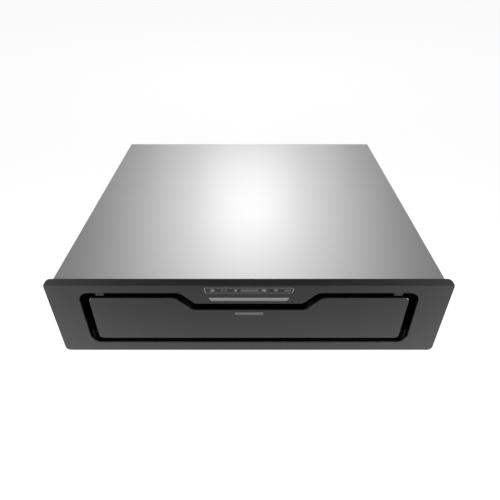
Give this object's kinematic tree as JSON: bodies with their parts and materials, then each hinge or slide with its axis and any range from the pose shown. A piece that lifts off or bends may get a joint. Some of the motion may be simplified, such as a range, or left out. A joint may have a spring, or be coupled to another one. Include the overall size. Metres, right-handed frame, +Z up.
{
  "type": "cooker hood",
  "caption": "Slim built-in cooker hood with a steel housing, a dark front panel with a suction slot all round it, touch controls and a light bar.",
  "frame": {"origin": "centre of the underside of the whole hood, on the plane it rests on", "axes": "+X to the right along the fascia, +Y from the fascia towards the duct collar at the rear, +Z up"},
  "size_m": [0.595, 0.541, 0.146],
  "materials": {
    "steel_top": "satin",
    "fascia_paint": "satin",
    "panel_paint": "satin",
    "badge_metal": "satin",
    "strip_glass": "gloss",
    "lamp_opal": "satin",
    "black_liner": "matte",
    "black_steel": "matte",
    "galvanised": "satin",
    "filter_aluminium": "satin",
    "rubber_black": "matte",
    "white_plastic": "matte",
    "grey_plastic": "matte",
    "board_green": "satin",
    "zinc_screw": "satin",
    "magnet_grey": "satin",
    "motor_steel": "satin",
    "impeller_plastic": "satin",
    "brass_pin": "satin",
    "loom_sleeve": "satin"
  },
  "bodies": {
    "hood": {"front_fascia": "fascia_paint", "flange_gasket": "rubber_black", "touch_strip": "strip_glass", "light_diffuser": "lamp_opal", "control_pod": "grey_plastic", "touch_board": "board_green", "led_board": "board_green", "housing_shell": "steel_top", "housing_base": "galvanised", "rear_wall": "galvanised", "rubber_feet": "rubber_black", "foot_screws": "zinc_screw", "inlet_liner": "black_liner", "plenum_frame": "black_steel", "filter_rail": "black_steel", "filter_channel": "black_steel", "hinge_plates": "black_steel", "catch_brackets": "black_steel", "catch_magnets": "magnet_grey", "scroll_lower": "grey_plastic", "scroll_lid": "grey_plastic", "inlet_ring": "grey_plastic", "inlet_guard": "zinc_screw", "blower_posts": "grey_plastic", "motor": "motor_steel", "motor_bracket": "galvanised", "motor_grommets": "rubber_black", "motor_screws": "zinc_screw", "outlet_adapter": "grey_plastic", "duct_collar": "grey_plastic", "collar_screws": "zinc_screw", "damper_pin": "zinc_screw", "damper_spring": "zinc_screw", "control_box": "white_plastic", "control_box_lid": "white_plastic", "main_board": "board_green", "terminal_block": "white_plastic", "run_capacitor": "white_plastic", "capacitor_clip": "zinc_screw", "cable_gland": "black_liner", "gland_nut": "black_liner", "wiring_loom": "loom_sleeve", "fixing_springs": "galvanised", "housing_screws": "zinc_screw", "fascia_screws": "zinc_screw"},
    "panel": {"panel_skin": "panel_paint", "panel_back": "panel_paint", "panel_badge": "badge_metal", "hinge_pins": "black_steel", "strike_plates": "zinc_screw"},
    "filter": {"filter_frame": "filter_aluminium", "filter_mesh": "filter_aluminium", "handle_ears": "filter_aluminium"},
    "handle": {"wire_handle": "zinc_screw"},
    "rotor": {"impeller": "impeller_plastic", "motor_shaft": "zinc_screw", "shaft_nut": "brass_pin"},
    "flap_left": {"damper_flap_left": "grey_plastic"},
    "flap_right": {"damper_flap_right": "grey_plastic"}
  },
  "joints": [
    {"name": "panel_tilt", "type": "hinge", "parent": "hood", "child": "panel", "pos_m": [0, -0.2625, 0.038], "axis": [1, 0, 0], "range_deg": [0, 85]},
    {"name": "filter_lift", "type": "slide", "parent": "hood", "child": "filter", "axis": [0, 0, 1], "range_m": [0, 0.0045]},
    {"name": "handle_swing", "type": "hinge", "parent": "filter", "child": "handle", "pos_m": [0, -0.2371, 0.0811], "axis": [-1, 0, 0], "range_deg": [0, 80]},
    {"name": "impeller_spin", "type": "hinge", "parent": "hood", "child": "rotor", "pos_m": [-0.1, 0.0125, 0.096], "axis": [0, 0, 1], "continuous": true},
    {"name": "flap_left_swing", "type": "hinge", "parent": "hood", "child": "flap_left", "pos_m": [0, 0.2505, 0.071], "axis": [0, 0, -1], "range_deg": [0, 75], "stiffness_Nm_per_rad": 0.003},
    {"name": "flap_right_swing", "type": "hinge", "parent": "hood", "child": "flap_right", "pos_m": [0, 0.2505, 0.071], "axis": [0, 0, 1], "range_deg": [0, 75], "stiffness_Nm_per_rad": 0.003}
  ]
}
